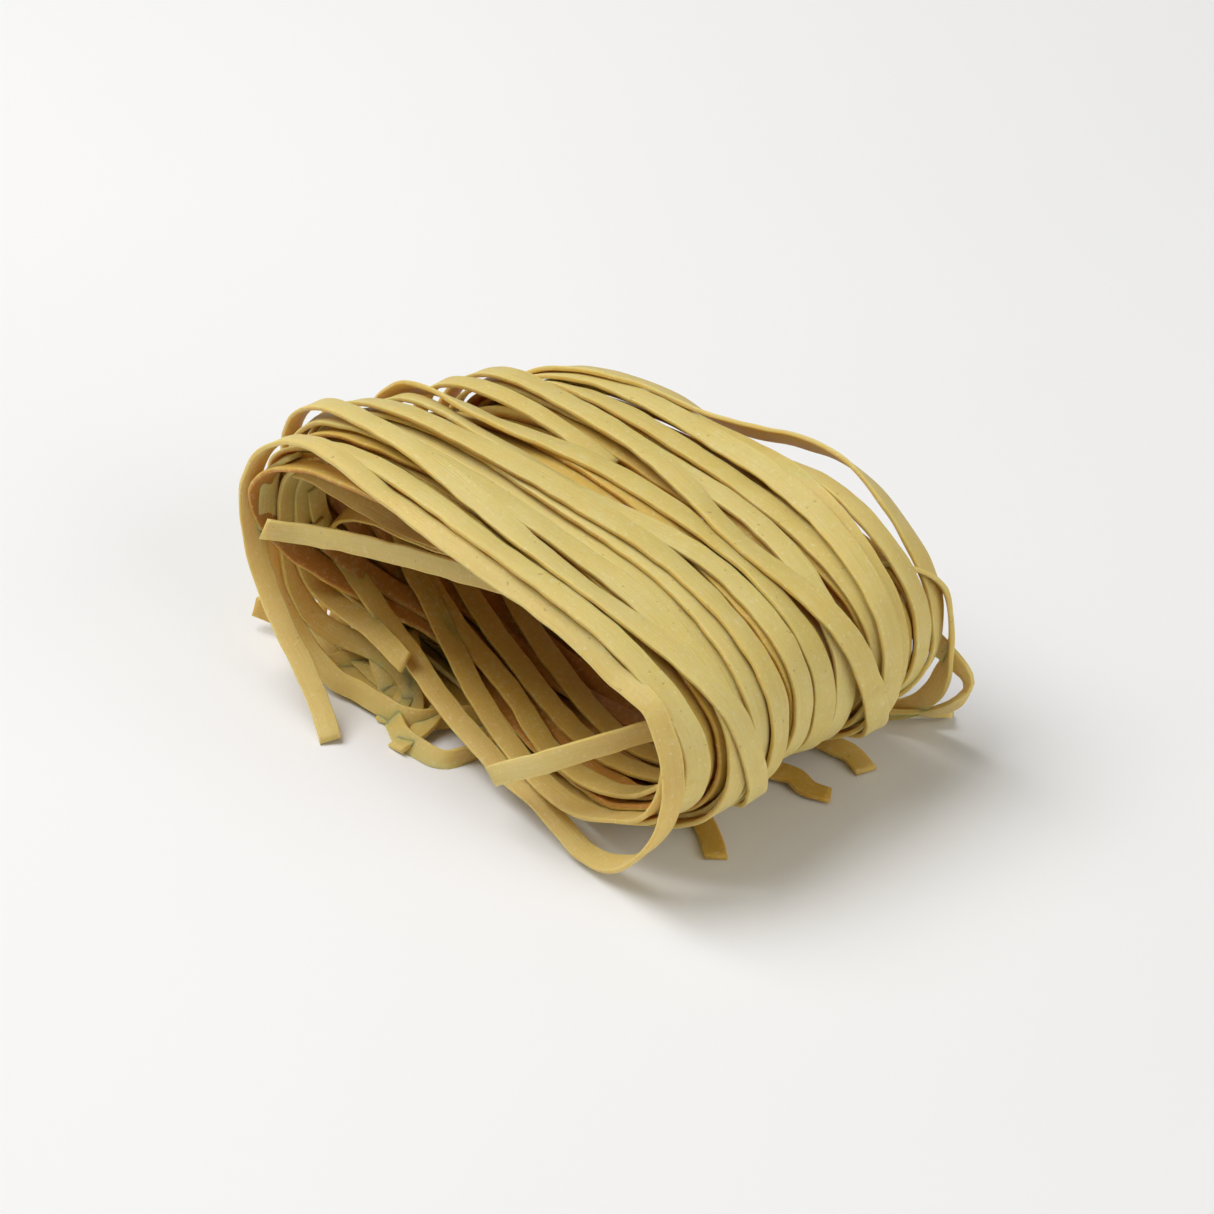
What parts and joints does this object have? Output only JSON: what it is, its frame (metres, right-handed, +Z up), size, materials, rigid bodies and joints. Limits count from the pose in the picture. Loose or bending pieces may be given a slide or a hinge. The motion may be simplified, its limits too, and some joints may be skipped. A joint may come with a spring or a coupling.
{
  "type": "dry pasta nest",
  "caption": "Dry pasta nest: flat ribbons wound into a loose, flattened sleeve that lies on its side, open from front to back.",
  "frame": {"origin": "on the floor under the middle of the nest's bounding box", "axes": "+X along the nest's long side, from the raised end to the low end; +Y through the tunnel, away from the opening with the loose ends; +Z up from the floor that it lies on"},
  "size_m": [0.085, 0.0622, 0.0394],
  "materials": {
    "dry_pasta": "dry durum wheat pasta, pale straw yellow, matte to faintly satin, fine grain and tiny specks"
  },
  "bodies": {
    "root": {"pasta_nest": "dry_pasta"}
  },
  "joints": []
}
